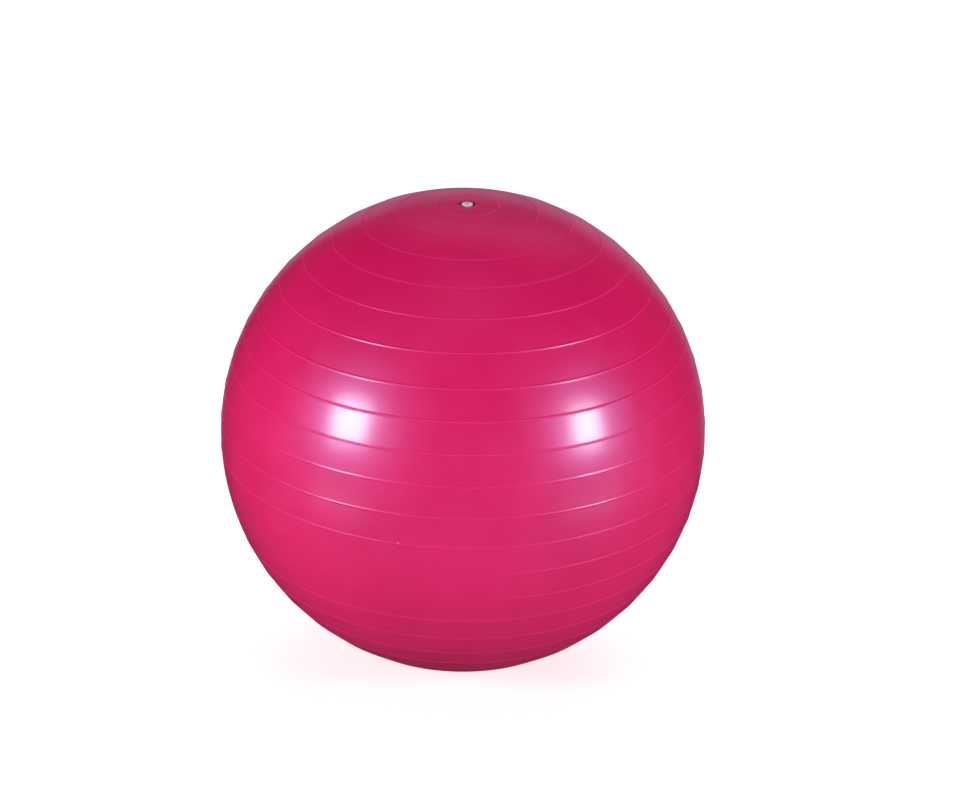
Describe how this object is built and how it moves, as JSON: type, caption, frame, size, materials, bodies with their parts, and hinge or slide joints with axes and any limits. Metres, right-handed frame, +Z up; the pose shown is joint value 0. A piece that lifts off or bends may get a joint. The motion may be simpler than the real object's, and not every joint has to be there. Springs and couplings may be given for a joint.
{
  "type": "exercise ball",
  "caption": "Inflated vinyl exercise ball with raised rings round it, a smooth print panel, and a pull-out plug in the valve at its crown.",
  "frame": {"origin": "centre of the flat patch that the inflated ball stands on", "axes": "+Z up through the valve, -Y to the front and +X to the right, with the smooth print panel at the front left"},
  "size_m": [0.6505, 0.6504, 0.6452],
  "materials": {
    "vinyl_skin": "satin",
    "valve_vinyl": "satin",
    "plug_plastic": "satin"
  },
  "bodies": {
    "ball": {"ball_shell": "vinyl_skin", "valve_seat": "valve_vinyl"},
    "plug": {"valve_plug": "plug_plastic"}
  },
  "joints": [
    {"name": "plug_pull", "type": "slide", "parent": "ball", "child": "plug", "axis": [0, 0, 1], "range_m": [0, 0.035]}
  ]
}
